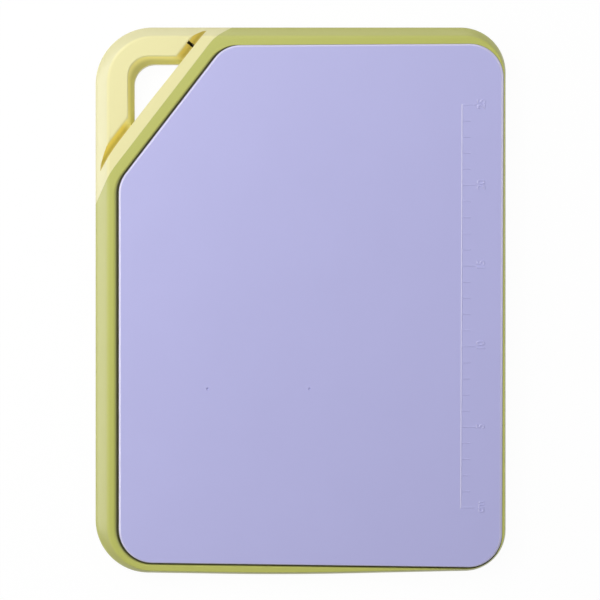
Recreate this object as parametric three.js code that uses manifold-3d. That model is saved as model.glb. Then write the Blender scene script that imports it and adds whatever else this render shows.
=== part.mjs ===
// Two-sided plastic cutting board with a corner handle, lying flat with its ruled face up.
// Millimetres. X runs across the board, Y along it, Z up. The origin is under the middle of the outline.
// Two cutting plates are joined back to back and clamp the flange of a soft rim between them.
// The rim is moulded round the tongue of the corner handle and through the holes in it.
import * as THREE from 'three';
import { mergeVertices } from 'three/addons/utils/BufferGeometryUtils.js';
import Module from 'manifold-3d';

// Outline of the whole board
const BOARD_WIDTH = 255.4;
const BOARD_LENGTH = 340.5;
const CORNER_RADIUS = { handle: 35.5, topRight: 28, bottomRight: 25.5, bottomLeft: 32.9 };
// The bottom side bows out: from its lowest place it bends up in a large round, then runs straight
const BOTTOM_BOW = { x: -15.6, radius: 2000 };
const BOTTOM_LEAN_LEFT = THREE.MathUtils.degToRad(0.9);
const BOTTOM_LEAN_RIGHT = THREE.MathUtils.degToRad(1.25);

// Thickness, from the table up
const RIM_THICKNESS = 10.8;
const PLATE_PROUD = 0.6;
const CLEARANCE = 0.3;

// Rim, from the outline to the plate's edge. The outer part slopes as a shoulder, and the inner edge rolls
// down into a narrow groove beside the plate.
const RIM = { left: 14.9, top: 11.1, right: 2.6, bottom: 6.6 };
const GROOVE = { left: 1.1, diagonal: 1.0, top: 0.3, right: 0.3, bottom: 0.7 };
const ROLL = { left: 1.9, diagonal: 2.0, top: 0.7, right: 0.2, bottom: 1.0 };
const ROLL_DEPTH = 3.0;
const SHOULDER = { left: 8.9, top: 6.8, right: 1.2, bottom: 1.8 };
const SHOULDER_DROP = 4.4;
// The shoulder in section, outline first: how far across it, and how far up
const SHOULDER_SLOPE = [[0, 0], [0.03, 0.12], [0.1, 0.22], [0.66, 0.8], [0.84, 0.94], [1, 1]];
const BACK_ROUND = 1.6;

// Flange of the rim, which the plates clamp
const FLANGE = { thickness: 4.2, reach: 7 };

// Cutting plates
const PLATE_CORNER_RADIUS = 21;
const PLATE_BEVEL = 1.0;
const PLATE_SKIN = 2.8;
const PLATE_BOTTOM_FALL = 3.4;
const PLATE_TOP_RISE = 1.0;
const PLATE_RIGHT_LEAN = 1.1;
const CUT_CORNER = { across: 65.6, along: 85.0, radius: 20 };

// Ribs of the plates, which meet in the middle of the board
const RIB_WIDTH = 2;
const RIB_PITCH = 42;

// Corner handle: loop widths on the front face, slope of the hand hole's wall, and the diagonal bar
const LOOP_WIDTH = { left: 19.9, top: 17.8 };
const HOLE_RADIUS = 13;
const HOLE_TIP_RADIUS = 0.15;
const HOLE_SLOPE = { left: 4.1, top: 5.0 };
const HOLE_SLOPE_DEPTH = 4.6;
// The wall in section, foot first: how far across the slope, and how far down it
const HOLE_WALL = [[1, 1], [0.6, 0.52], [0.14, 0.09], [0, 0]];
const DIAGONAL_RIM = 8.0;
const BAR_WIDTH = 7.45;

// Ends of the bar, from which the things along it are placed: so far inside the outline
const BAR_END_MARGIN = 3.65;

// Tongue of the handle inside the rim. It stays back from the bar's ends, and pegs of the rim go through
// holes in it.
const TONGUE = { thickness: 2, margin: 16 };
const PEGS = { count: 4, radius: 1.5 };

// The hand hole runs out into two troughs along the bar, one at each end. They are deepest beside the bar
// and end where the shoulder falls below their floor.
const TROUGH_WIDTH = { low: 5.3, high: 4.5 };
const TROUGH_DEPTH = 2.1;
const TROUGH_FLOOR = 0.6;

// Seam between handle and rim: it bends towards the sides, so far beyond the bar's ends
const SEAM_BEND_LOW = THREE.MathUtils.degToRad(12.5);
const SEAM_BEND_HIGH = THREE.MathUtils.degToRad(22.5);
const SEAM_RADIUS = { low: 60, high: 32 };
const SEAM_BEYOND_END = { low: 0.5, high: 2.7 };

// Knife sharpener in the upper trough
const SHARPENER_FROM_END = 10.3;
const SLIT_WIDTH = 1.6;
const STONE = { thickness: 1.0, width: 8.6, notchWidth: 3.6, notchDepth: 2.4 };
const STONE_OFFSET = 1.6;
const STONE_BELOW_FACE = 2.2;
const CAP = { width: 5.6, length: 11.6, thickness: 1.4 };

// Raised ruler on the front plate
const RULER = { length: 250, step: 10, perMajor: 5, line: 0.9, height: 0.25, minor: 5.5, major: 8.4 };
const RULER_FROM_RIGHT = 24.95;
const RULER_FROM_BOTTOM = 35.9;

// Facets
const CORNER_STEPS = 10;
const ROUND_STEPS = 5;
const ROLL_STEPS = 4;
const BEVEL_STEPS = 2;
const WELD_DISTANCE = 1e-5;

const LILAC = 0xb5b5dd;
const OLIVE = 0xbdc26e;
const PALE_YELLOW = 0xede7ad;
const STONE_GREY = 0x3a3530;

// Levels that follow from the thicknesses
const totalThickness = RIM_THICKNESS + 2 * PLATE_PROUD;
const middle = totalThickness / 2;
const rimBottom = PLATE_PROUD;
const rimTop = PLATE_PROUD + RIM_THICKNESS;
const flangeTop = middle + FLANGE.thickness / 2;
// Cutters run past the faces by this much
const beyond = 5;

const wasm = await Module();
wasm.setup();

const toSolid = (geometry) => {
  const bare = geometry.clone();
  bare.deleteAttribute('normal');
  bare.deleteAttribute('uv');
  const merged = mergeVertices(bare, WELD_DISTANCE);
  const vertProperties = new Float32Array(merged.attributes.position.array);
  const triVerts = new Uint32Array(merged.index.array);
  return new wasm.Manifold(new wasm.Mesh({ numProp: 3, vertProperties, triVerts }));
};

const toGeometry = (solid) => {
  const { vertProperties, triVerts } = solid.getMesh();
  const geometry = new THREE.BufferGeometry();
  geometry.setAttribute('position', new THREE.BufferAttribute(new Float32Array(vertProperties), 3));
  geometry.setIndex(new THREE.BufferAttribute(new Uint32Array(triVerts), 1));
  geometry.computeVertexNormals();
  return geometry;
};

const corner = (x, y, radius) => ({ x, y, radius });

// A polygon with each corner rounded by its own radius, as a ring of points.
function rounded(corners, steps = CORNER_STEPS) {
  const ring = [];
  corners.forEach((here, i) => {
    const at = new THREE.Vector2(here.x, here.y);
    const before = corners[(i + corners.length - 1) % corners.length];
    const after = corners[(i + 1) % corners.length];
    const back = new THREE.Vector2(before.x, before.y).sub(at).normalize();
    const onward = new THREE.Vector2(after.x, after.y).sub(at).normalize();
    const half = Math.acos(THREE.MathUtils.clamp(back.dot(onward), -1, 1)) / 2;
    const centre = back.clone().add(onward).normalize().multiplyScalar(here.radius / Math.sin(half)).add(at);
    const first = back.clone().multiplyScalar(here.radius / Math.tan(half)).add(at).sub(centre);
    const turn = Math.sign(back.cross(onward)) * (2 * half - Math.PI);
    for (let k = 0; k <= steps; k += 1) {
      const spoke = first.clone().rotateAround(new THREE.Vector2(), turn * (k / steps));
      ring.push(centre.clone().add(spoke));
    }
  });
  return ring;
}

// The same polygon with each side moved outwards by its own distance. Side i runs from corner i to the next.
function moved(corners, distances) {
  const sides = corners.map((here, i) => {
    const after = corners[(i + 1) % corners.length];
    const along = new THREE.Vector2(after.x - here.x, after.y - here.y).normalize();
    const outward = new THREE.Vector2(along.y, -along.x).multiplyScalar(distances[i]);
    return { start: new THREE.Vector2(here.x, here.y).add(outward), along };
  });
  return corners.map((here, i) => {
    const last = (i + corners.length - 1) % corners.length;
    const a = sides[last];
    const b = sides[i];
    const reach = b.start.clone().sub(a.start).cross(b.along) / a.along.cross(b.along);
    const meet = a.along.clone().multiplyScalar(reach).add(a.start);
    return corner(meet.x, meet.y, Math.max(here.radius + (distances[last] + distances[i]) / 2, CLEARANCE));
  });
}

const movedAll = (corners, distance) => moved(corners, corners.map(() => distance));

function prism(ring, low, high) {
  const options = { depth: high - low, bevelEnabled: false };
  return toSolid(new THREE.ExtrudeGeometry(new THREE.Shape(ring), options).translate(0, 0, low));
}

// A closed solid through rings of equally many points, each at its own height, from the lowest up.
function loft(levels) {
  const count = levels[0].ring.length;
  const positions = levels.flatMap(({ z, ring }) => ring.flatMap((p) => [p.x, p.y, z]));
  const index = [];
  for (let level = 0; level + 1 < levels.length; level += 1) {
    for (let i = 0; i < count; i += 1) {
      const a = level * count + i;
      const b = level * count + ((i + 1) % count);
      index.push(a, b, b + count, a, b + count, a + count);
    }
  }
  const last = (levels.length - 1) * count;
  THREE.ShapeUtils.triangulateShape(levels[0].ring, []).forEach(([a, b, c]) => index.push(c, b, a));
  THREE.ShapeUtils.triangulateShape(levels.at(-1).ring, []).forEach(([a, b, c]) => {
    index.push(last + a, last + b, last + c);
  });
  const geometry = new THREE.BufferGeometry();
  geometry.setAttribute('position', new THREE.Float32BufferAttribute(positions, 3));
  geometry.setIndex(index);
  return toSolid(geometry);
}

// The same levels turned over between front and back
const turnedLevels = (levels) => levels.map(({ z, ring }) => ({ z: totalThickness - z, ring })).reverse();

// The same mesh turned over between front and back
function turnedOver(geometry) {
  geometry.scale(1, 1, -1).translate(0, 0, totalThickness);
  const corners = geometry.index.array;
  for (let i = 0; i < corners.length; i += 3) {
    [corners[i], corners[i + 1]] = [corners[i + 1], corners[i]];
  }
  geometry.computeVertexNormals();
  return geometry;
}

function box(xSize, ySize, zLow, zHigh, x = 0, y = 0) {
  return new THREE.BoxGeometry(xSize, ySize, zHigh - zLow).translate(x, y, (zLow + zHigh) / 2);
}

// Outlines

const left = -BOARD_WIDTH / 2;
const right = BOARD_WIDTH / 2;
const bottom = -BOARD_LENGTH / 2;
const top = BOARD_LENGTH / 2;

// Where the two straight runs of the bottom side would meet, below the round of its bow
const bowSkew = (BOTTOM_LEAN_RIGHT - BOTTOM_LEAN_LEFT) / 2;
const bowReach = BOTTOM_BOW.radius / Math.cos((BOTTOM_LEAN_RIGHT + BOTTOM_LEAN_LEFT) / 2);
const bow = corner(
  BOTTOM_BOW.x + bowReach * Math.sin(bowSkew),
  bottom + BOTTOM_BOW.radius - bowReach * Math.cos(bowSkew),
  BOTTOM_BOW.radius,
);
const boardCorners = [
  corner(left, bow.y + (bow.x - left) * Math.tan(BOTTOM_LEAN_LEFT), CORNER_RADIUS.bottomLeft),
  bow,
  corner(right, bow.y + (right - bow.x) * Math.tan(BOTTOM_LEAN_RIGHT), CORNER_RADIUS.bottomRight),
  corner(right, top, CORNER_RADIUS.topRight),
  corner(left, top, CORNER_RADIUS.handle),
];
const sideNames = ['bottom', 'bottom', 'right', 'top', 'left'];
const bySide = (sizes, share) => sideNames.map((side) => sizes[side] * share);

const plateLeft = left + RIM.left;
const plateRight = right - RIM.right;
const plateTop = top - RIM.top;
const plateBottom = bottom + RIM.bottom;
const plateTopLeft = plateTop - PLATE_TOP_RISE / 2;
const cutHigh = corner(plateLeft + CUT_CORNER.across, plateTopLeft, CUT_CORNER.radius);
const cutLow = corner(plateLeft, plateTopLeft - CUT_CORNER.along, CUT_CORNER.radius);
const plateCorners = [
  corner(plateLeft, plateBottom + PLATE_BOTTOM_FALL / 2, PLATE_CORNER_RADIUS),
  corner(plateRight - PLATE_RIGHT_LEAN / 2, plateBottom - PLATE_BOTTOM_FALL / 2, PLATE_CORNER_RADIUS),
  corner(plateRight + PLATE_RIGHT_LEAN / 2, plateTop + PLATE_TOP_RISE / 2, PLATE_CORNER_RADIUS),
  cutHigh,
  cutLow,
];

// Places on the cut corner: u runs up along the plate's diagonal edge, w out from it towards the handle
const diagonalStart = new THREE.Vector2(cutLow.x, cutLow.y);
const diagonalAlong = new THREE.Vector2(CUT_CORNER.across, CUT_CORNER.along).normalize();
const diagonalOut = new THREE.Vector2(-diagonalAlong.y, diagonalAlong.x);
const diagonalAngle = diagonalAlong.angle();
const onDiagonal = (u, w) => new THREE.Vector2()
  .addScaledVector(diagonalAlong, u)
  .addScaledVector(diagonalOut, w)
  .add(diagonalStart);
const barEdge = DIAGONAL_RIM + BAR_WIDTH;
const barAtX = (x, w) => (x - onDiagonal(0, w).x) / diagonalAlong.x;
const barAtY = (y, w) => (y - onDiagonal(0, w).y) / diagonalAlong.y;
const barEnd = {
  low: barAtX(left + BAR_END_MARGIN, barEdge),
  high: barAtY(top - BAR_END_MARGIN, barEdge),
};

// Board blank: shoulders on the front, a small round on the back

function boardBlank() {
  const levels = [];
  const level = (z, sizes, share) => ({ z, ring: rounded(moved(boardCorners, bySide(sizes, -share))) });
  const roundAllSides = { left: BACK_ROUND, top: BACK_ROUND, right: BACK_ROUND, bottom: BACK_ROUND };
  for (let k = ROUND_STEPS; k >= 0; k -= 1) {
    const angle = (Math.PI / 2) * (k / ROUND_STEPS);
    levels.push(level(rimBottom + BACK_ROUND * (1 - Math.sin(angle)), roundAllSides, 1 - Math.cos(angle)));
  }
  SHOULDER_SLOPE.forEach(([across, up]) => {
    levels.push(level(rimTop - SHOULDER_DROP * (1 - up), SHOULDER, across));
  });
  return loft(levels);
}

// Seam region: the corner of the blank that belongs to the handle, drawn in or out by a distance

function handleRegion(outwards) {
  const lowBend = onDiagonal(barEnd.low - SEAM_BEYOND_END.low, DIAGONAL_RIM);
  const highBend = onDiagonal(barEnd.high + SEAM_BEYOND_END.high, DIAGONAL_RIM);
  const far = CUT_CORNER.along;
  const run = (bend, reach) => diagonalAlong.clone()
    .rotateAround(new THREE.Vector2(), bend)
    .multiplyScalar(reach);
  const lowEnd = lowBend.clone().add(run(SEAM_BEND_LOW, -far));
  const highEnd = highBend.clone().add(run(-SEAM_BEND_HIGH, far));
  const region = [
    corner(lowEnd.x, lowEnd.y, CLEARANCE),
    corner(lowBend.x, lowBend.y, SEAM_RADIUS.low),
    corner(highBend.x, highBend.y, SEAM_RADIUS.high),
    corner(highEnd.x, highEnd.y, CLEARANCE),
    corner(lowEnd.x, highEnd.y, CLEARANCE),
  ];
  return prism(rounded(movedAll(region, outwards)), -beyond, totalThickness + beyond);
}

// Hand hole: share runs from 0 on the front face to 1 at the foot of its sloping wall

const holeLeft = (share) => left + LOOP_WIDTH.left + HOLE_SLOPE.left * share;
const holeTop = (share) => top - LOOP_WIDTH.top - HOLE_SLOPE.top * share;
const diagonalCorner = (u, w, radius) => {
  const at = onDiagonal(u, w);
  return corner(at.x, at.y, radius);
};

function holeRing(share) {
  const x = holeLeft(share);
  const y = holeTop(share);
  return rounded([
    diagonalCorner(barAtX(x, barEdge), barEdge, HOLE_TIP_RADIUS),
    diagonalCorner(barAtY(y, barEdge), barEdge, HOLE_TIP_RADIUS),
    corner(x, y, HOLE_RADIUS),
  ], CORNER_STEPS / 2);
}

function handHole() {
  const levels = HOLE_WALL.map(([across, down]) => ({
    z: rimTop - HOLE_SLOPE_DEPTH * down,
    ring: holeRing(across),
  }));
  levels.push({ z: totalThickness + beyond, ring: holeRing(0) });
  return loft(levels).add(prism(holeRing(1), -beyond, rimTop - HOLE_SLOPE_DEPTH + CLEARANCE));
}

// A trough between two places along the bar, rising from its floor to the face over its width
function trough(width, from, to) {
  const floor = rimTop - TROUGH_DEPTH;
  const run = (width - TROUGH_FLOOR) / TROUGH_DEPTH;
  const section = new THREE.Shape([
    new THREE.Vector2(barEdge, floor),
    new THREE.Vector2(barEdge + TROUGH_FLOOR, floor),
    new THREE.Vector2(barEdge + width + run * beyond, rimTop + beyond),
    new THREE.Vector2(barEdge, rimTop + beyond),
  ]);
  const place = new THREE.Matrix4().makeBasis(
    new THREE.Vector3(diagonalOut.x, diagonalOut.y, 0),
    new THREE.Vector3(0, 0, 1),
    new THREE.Vector3(diagonalAlong.x, diagonalAlong.y, 0),
  );
  const { x, y } = onDiagonal(from, 0);
  const geometry = new THREE.ExtrudeGeometry(section, { depth: to - from, bevelEnabled: false });
  return toSolid(geometry.applyMatrix4(place).translate(x, y, 0));
}

// The troughs run from the hand hole out through the shoulder
function troughs() {
  const holeMiddle = (barAtX(holeLeft(0), barEdge) + barAtY(holeTop(0), barEdge)) / 2;
  return [
    trough(TROUGH_WIDTH.low, barAtX(left - beyond, barEdge), holeMiddle),
    trough(TROUGH_WIDTH.high, holeMiddle, barAtY(top + beyond, barEdge)),
  ];
}

// The sharpener's own place: x along the trough, y across it, z up
const sharpenerPlace = onDiagonal(barEnd.high - SHARPENER_FROM_END, barEdge);
const atSharpener = (geometry) => geometry
  .rotateZ(diagonalAngle)
  .translate(sharpenerPlace.x, sharpenerPlace.y, 0);
const stoneTop = rimTop - STONE_BELOW_FACE;
const capTop = rimBottom + CAP.thickness;
const stoneBottom = capTop + CLEARANCE;

function sharpenerCuts() {
  const pocketTop = stoneTop + CLEARANCE;
  const pocketWidth = STONE.width + 2 * CLEARANCE;
  const pocket = box(SLIT_WIDTH, pocketWidth, -beyond, pocketTop, 0, STONE_OFFSET);
  const slit = box(SLIT_WIDTH, TROUGH_WIDTH.high, middle, totalThickness + beyond, 0, TROUGH_WIDTH.high / 2);
  const seat = box(
    CAP.width + 2 * CLEARANCE,
    CAP.length + 2 * CLEARANCE,
    -beyond,
    capTop + CLEARANCE,
    0,
    STONE_OFFSET,
  );
  return [pocket, slit, seat].map((cut) => toSolid(atSharpener(cut)));
}

function sharpenerStone() {
  const half = STONE.width / 2;
  const notch = STONE.notchWidth / 2;
  const face = new THREE.Shape([
    new THREE.Vector2(-half, stoneBottom),
    new THREE.Vector2(half, stoneBottom),
    new THREE.Vector2(half, stoneTop),
    new THREE.Vector2(notch, stoneTop),
    new THREE.Vector2(0, stoneTop - STONE.notchDepth),
    new THREE.Vector2(-notch, stoneTop),
    new THREE.Vector2(-half, stoneTop),
  ]);
  const geometry = new THREE.ExtrudeGeometry(face, { depth: STONE.thickness, bevelEnabled: false });
  geometry.translate(0, 0, -STONE.thickness / 2).rotateX(Math.PI / 2).rotateZ(Math.PI / 2);
  return toSolid(atSharpener(geometry.translate(0, STONE_OFFSET, 0)));
}

// The cap closes the pocket from the back, and the stone stands on it
function sharpenerCap() {
  return toSolid(atSharpener(box(CAP.width, CAP.length, rimBottom, capTop, 0, STONE_OFFSET)));
}

// Tongue that carries the handle inside the rim. grown widens it all round and tightens its holes.
function tongue(grown) {
  const low = middle - TONGUE.thickness / 2 - grown;
  const high = middle + TONGUE.thickness / 2 + grown;
  const along = barEnd.high - barEnd.low - 2 * (TONGUE.margin - grown);
  const across = DIAGONAL_RIM + CLEARANCE + FLANGE.reach;
  const place = onDiagonal((barEnd.low + barEnd.high) / 2, across / 2 - FLANGE.reach);
  const onTongue = (geometry) => toSolid(geometry.rotateZ(diagonalAngle).translate(place.x, place.y, 0));
  let solid = onTongue(box(along, across, low, high));
  const hole = PEGS.radius + CLEARANCE - grown;
  const spacing = along / PEGS.count;
  for (let i = 0; i < PEGS.count; i += 1) {
    const drill = new THREE.CylinderGeometry(hole, hole, totalThickness, 2 * CORNER_STEPS);
    drill.rotateX(Math.PI / 2);
    drill.translate((i + 1 / 2) * spacing - along / 2, (FLANGE.reach - across) / 2, middle);
    solid = solid.subtract(onTongue(drill));
  }
  return solid;
}

function cornerHandle(blank) {
  const loop = blank.intersect(handleRegion(-CLEARANCE / 2));
  const cutters = [handHole(), ...troughs(), ...sharpenerCuts()];
  return cutters.reduce((solid, cutter) => solid.subtract(cutter), loop).add(tongue(0));
}

// Pocket for one plate: straight up from the flange, then flaring into the rolled edge of the rim
function platePocket() {
  const sides = ['bottom', 'right', 'top', 'diagonal', 'left'];
  const level = (z, share) => {
    const distances = sides.map((side) => GROOVE[side] + ROLL[side] * share);
    return { z, ring: rounded(moved(plateCorners, distances)) };
  };
  const levels = [level(flangeTop, 0)];
  for (let k = 0; k <= ROLL_STEPS; k += 1) {
    const angle = (Math.PI / 2) * (k / ROLL_STEPS);
    levels.push(level(rimTop - ROLL_DEPTH * (1 - Math.sin(angle)), 1 - Math.cos(angle)));
  }
  levels.push(level(totalThickness + beyond, 1));
  return levels;
}

function softRim(blank) {
  const pocket = platePocket();
  const cutters = [
    handleRegion(CLEARANCE / 2),
    loft(pocket),
    loft(turnedLevels(pocket)),
    prism(rounded(movedAll(plateCorners, -FLANGE.reach)), -beyond, totalThickness + beyond),
    tongue(CLEARANCE),
  ];
  return cutters.reduce((solid, cutter) => solid.subtract(cutter), blank);
}

// One cutting plate, face up: a skin on a seat round its edge, with ribs that reach the middle of the board

function plate() {
  const seat = flangeTop + CLEARANCE;
  const skinUnder = totalThickness - PLATE_SKIN;
  const ribEnd = middle + CLEARANCE / 2;
  const edge = (z, inset) => ({ z, ring: rounded(movedAll(plateCorners, -inset)) });
  const levels = [edge(seat, 0)];
  for (let k = 0; k <= BEVEL_STEPS; k += 1) {
    const angle = (Math.PI / 2) * (k / BEVEL_STEPS);
    const inset = PLATE_BEVEL * (1 - Math.cos(angle));
    levels.push(edge(totalThickness - PLATE_BEVEL * (1 - Math.sin(angle)), inset));
  }
  const slab = loft(levels);
  const ribOutside = movedAll(plateCorners, -(FLANGE.reach + CLEARANCE));
  const ribInside = movedAll(ribOutside, -RIB_WIDTH);
  const hollow = prism(rounded(ribInside), -beyond, skinUnder);
  const collar = prism(rounded(ribOutside), ribEnd, seat + CLEARANCE).subtract(
    prism(rounded(ribInside), -beyond, totalThickness),
  );
  const within = prism(rounded(movedAll(ribInside, CLEARANCE)), ribEnd, skinUnder + CLEARANCE);
  return slab.subtract(hollow).add(collar).add(ribs(ribEnd, skinUnder + CLEARANCE).intersect(within));
}

// Crossing ribs over the whole plate, between two heights
function ribs(low, high) {
  const width = plateRight - plateLeft;
  const length = plateTop - plateBottom;
  const xMiddle = (plateLeft + plateRight) / 2;
  const yMiddle = (plateTop + plateBottom) / 2;
  const bars = [];
  const across = Math.floor(width / 2 / RIB_PITCH);
  for (let i = -across; i <= across; i += 1) {
    bars.push(box(RIB_WIDTH, length, low, high, xMiddle + i * RIB_PITCH, yMiddle));
  }
  const along = Math.floor(length / 2 / RIB_PITCH);
  for (let i = -along; i <= along; i += 1) {
    bars.push(box(width, RIB_WIDTH, low, high, xMiddle, yMiddle + i * RIB_PITCH));
  }
  return bars.map(toSolid).reduce((solid, bar) => solid.add(bar));
}

// A raised scale of centimetres along the plate's right side, with a longer mark every five
function withRuler(solid) {
  const x = plateRight - RULER_FROM_RIGHT;
  const half = RULER.length / 2;
  const lean = Math.atan2(PLATE_RIGHT_LEAN, plateTop - plateBottom);
  const low = totalThickness - CLEARANCE;
  const high = totalThickness + RULER.height;
  const onScale = (geometry) => toSolid(
    geometry.rotateZ(-lean).translate(x, plateBottom + RULER_FROM_BOTTOM + half, 0),
  );
  let ruled = solid.add(onScale(box(RULER.line, RULER.length + RULER.line, low, high)));
  for (let i = 0; i * RULER.step <= RULER.length; i += 1) {
    const reach = i % RULER.perMajor === 0 ? RULER.major : RULER.minor;
    ruled = ruled.add(onScale(box(reach, RULER.line, low, high, reach / 2, i * RULER.step - half)));
  }
  return ruled;
}

const board = new THREE.Group();

function add(name, geometry, color, roughness) {
  const material = new THREE.MeshStandardMaterial({ color, roughness });
  const mesh = new THREE.Mesh(geometry, material);
  mesh.name = name;
  board.add(mesh);
}

const blank = boardBlank();
const plainPlate = plate();
add('front_plate', toGeometry(withRuler(plainPlate)), LILAC, 0.5);
add('back_plate', turnedOver(toGeometry(plainPlate)), LILAC, 0.5);
add('corner_handle', toGeometry(cornerHandle(blank)), PALE_YELLOW, 0.45);
add('soft_rim', toGeometry(softRim(blank)), OLIVE, 0.6);
add('sharpener_stone', toGeometry(sharpenerStone()), STONE_GREY, 0.8);
add('sharpener_cap', toGeometry(sharpenerCap()), PALE_YELLOW, 0.45);

export default board;
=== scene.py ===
"""Looks of a two-sided plastic cutting board with a corner handle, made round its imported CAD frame.

Lengths are in metres, in the frame of the CAD model: X runs across the board, Y along it towards the end
with the handle, and Z up out of the ruled face.
"""
import math
from typing import NamedTuple

import bmesh
import bpy
from bpy.props import FloatProperty, FloatVectorProperty, IntProperty, PointerProperty
from mathutils import Matrix, Vector


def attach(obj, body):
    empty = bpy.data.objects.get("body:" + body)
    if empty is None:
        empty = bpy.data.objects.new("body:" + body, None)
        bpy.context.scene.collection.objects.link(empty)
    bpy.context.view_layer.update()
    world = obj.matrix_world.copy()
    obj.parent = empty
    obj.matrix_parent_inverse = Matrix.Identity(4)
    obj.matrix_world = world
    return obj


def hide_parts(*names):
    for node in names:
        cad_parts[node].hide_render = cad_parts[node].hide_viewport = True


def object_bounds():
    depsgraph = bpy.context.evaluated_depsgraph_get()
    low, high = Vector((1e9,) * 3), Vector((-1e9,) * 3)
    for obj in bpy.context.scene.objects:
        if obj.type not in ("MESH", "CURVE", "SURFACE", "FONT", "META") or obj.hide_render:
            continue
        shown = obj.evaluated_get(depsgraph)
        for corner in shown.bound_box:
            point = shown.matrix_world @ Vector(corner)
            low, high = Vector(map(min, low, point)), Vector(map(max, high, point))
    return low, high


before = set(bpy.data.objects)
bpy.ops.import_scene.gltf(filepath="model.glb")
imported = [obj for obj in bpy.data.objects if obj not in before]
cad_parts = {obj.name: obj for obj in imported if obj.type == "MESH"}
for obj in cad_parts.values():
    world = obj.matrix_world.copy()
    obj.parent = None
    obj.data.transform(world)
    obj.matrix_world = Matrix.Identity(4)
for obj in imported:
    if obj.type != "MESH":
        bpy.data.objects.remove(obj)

cad_low, cad_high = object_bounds()

bl_info = {
    "name": "Corner-handle cutting board",
    "version": (1, 0, 0),
    "blender": (4, 5, 0),
    "location": "View3D > Sidebar > Cutting board",
    "description": "Builds the plates, rim, handle and sharpener of a plastic cutting board",
    "category": "Add Mesh",
}

BODY = "root"

# Facets
CORNER_STEPS = 24
HOLE_CORNER_STEPS = 16
ROUND_STEPS = 8
ROLL_STEPS = 14
SOFTENING_ROUNDS = 2
WALL_ROUNDS = 3
CIRCLE_STEPS = 32
TROUGH_STEPS = 24
SHARP_ANGLE = math.radians(32)

# Finishes that each piece has room for
FINISHES = 2

# Meshes: points closer than this are one point, and cutters run past the faces by so much
WELD = 2e-7
BEYOND = 0.005
OVERLAP = 0.0003

# Keeps the walls of two cutters from lying in one plane
NUDGE = 0.00002

# The rim's shoulder in section, outline first: how far across it, and how far up. It ends on the flat.
SHOULDER_SECTION = (
    (0, 0), (0.02, 0.1), (0.08, 0.21), (0.25, 0.42), (0.45, 0.61),
    (0.68, 0.81), (0.83, 0.93), (1, 1), (1.1, 1),
)

# The plate's bevelled edge in section, wall first: how far across it, and how far up. It ends on the flat,
# and a last line holds the flat level.
BEVEL_SECTION = ((0, 0), (0.06, 0.3), (0.7, 0.88), (0.88, 0.98), (1, 1), (1.1, 1))
BEVEL_HOLD = 1.4

# Faces between these slopes are the bevel's own, and get the lighter lilac painted on as a highlight: how
# far their normals point up
BEVEL_TILT = (0.3, 0.999)

# The hand hole's wall in section, face first: how far across it, and how far down
WALL_SECTION = ((0, 0), (0.05, 0.02), (0.14, 0.09), (0.6, 0.52), (1, 1))

# A trough in section, from the bar outwards: how far across it, and how far up
TROUGH_SECTION = ((0, 0), (0.2, 0.01), (0.3, 0.06), (0.5, 0.3), (0.7, 0.57), (0.88, 0.83), (1.1, 1))

# Painted shade: the groove round the plates grows darker between these depths below the flat
GROOVE_SHADE_DEPTHS = (0, 0.0018)

# Painted shade: the darker, duller tone of the shoulders sets in between these depths
SHOULDER_SHADE_DEPTHS = (0.00002, 0.0006)

# Painted bounce light, a richer, more saturated yellow, sets in between the first depths, and painted shade
# darkens it between the second ones
BOUNCE_LIGHT_DEPTHS = (0.00005, 0.0008)
HOLLOW_SHADE_DEPTHS = (0.0008, 0.0028)

# The painted bounce light turns from the hole's tone to the troughs' golden tone between these distances
# from the hole's middle, which lies a little up along the bar from the middle of the bar
HOLE_REACH = (0.023, 0.030)
HOLE_SHIFT = 0.004

# Left flanks of the scale's lines are glossy, and get the lighter lilac painted on as a highlight of their
# lit side: their normals point to the left by more than this
LIT_FLANK = -0.2

# A raised line of the scale in section: how much narrower, and how far up
RIDGE_SECTION = ((0, 0), (0.42, 0.5), (0.8, 0.92), (0.95, 1))

# A dimple's narrowest ring, as a share of its radius
DIMPLE_TIP = 0.05

# Figures of the scale
CAPITAL_SHARE = 0.69
LETTER_RUN = 0.88
LETTER_STEPS = 4
LETTER_BEVEL = 0.00025
UNIT_MARK = "cm"


def length(name, description, default):
    """A length that a user may change."""
    return FloatProperty(name=name, description=description, default=default, unit="LENGTH", precision=5)


def lengths(name, description, default):
    """A row of lengths that belong together."""
    return FloatVectorProperty(
        name=name, description=description, default=default, size=len(default), unit="LENGTH", precision=5
    )


def colour(name, description, default):
    """A surface colour, in linear values."""
    return FloatVectorProperty(
        name=name, description=description, default=default, size=3, subtype="COLOR", min=0, max=1
    )


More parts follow.
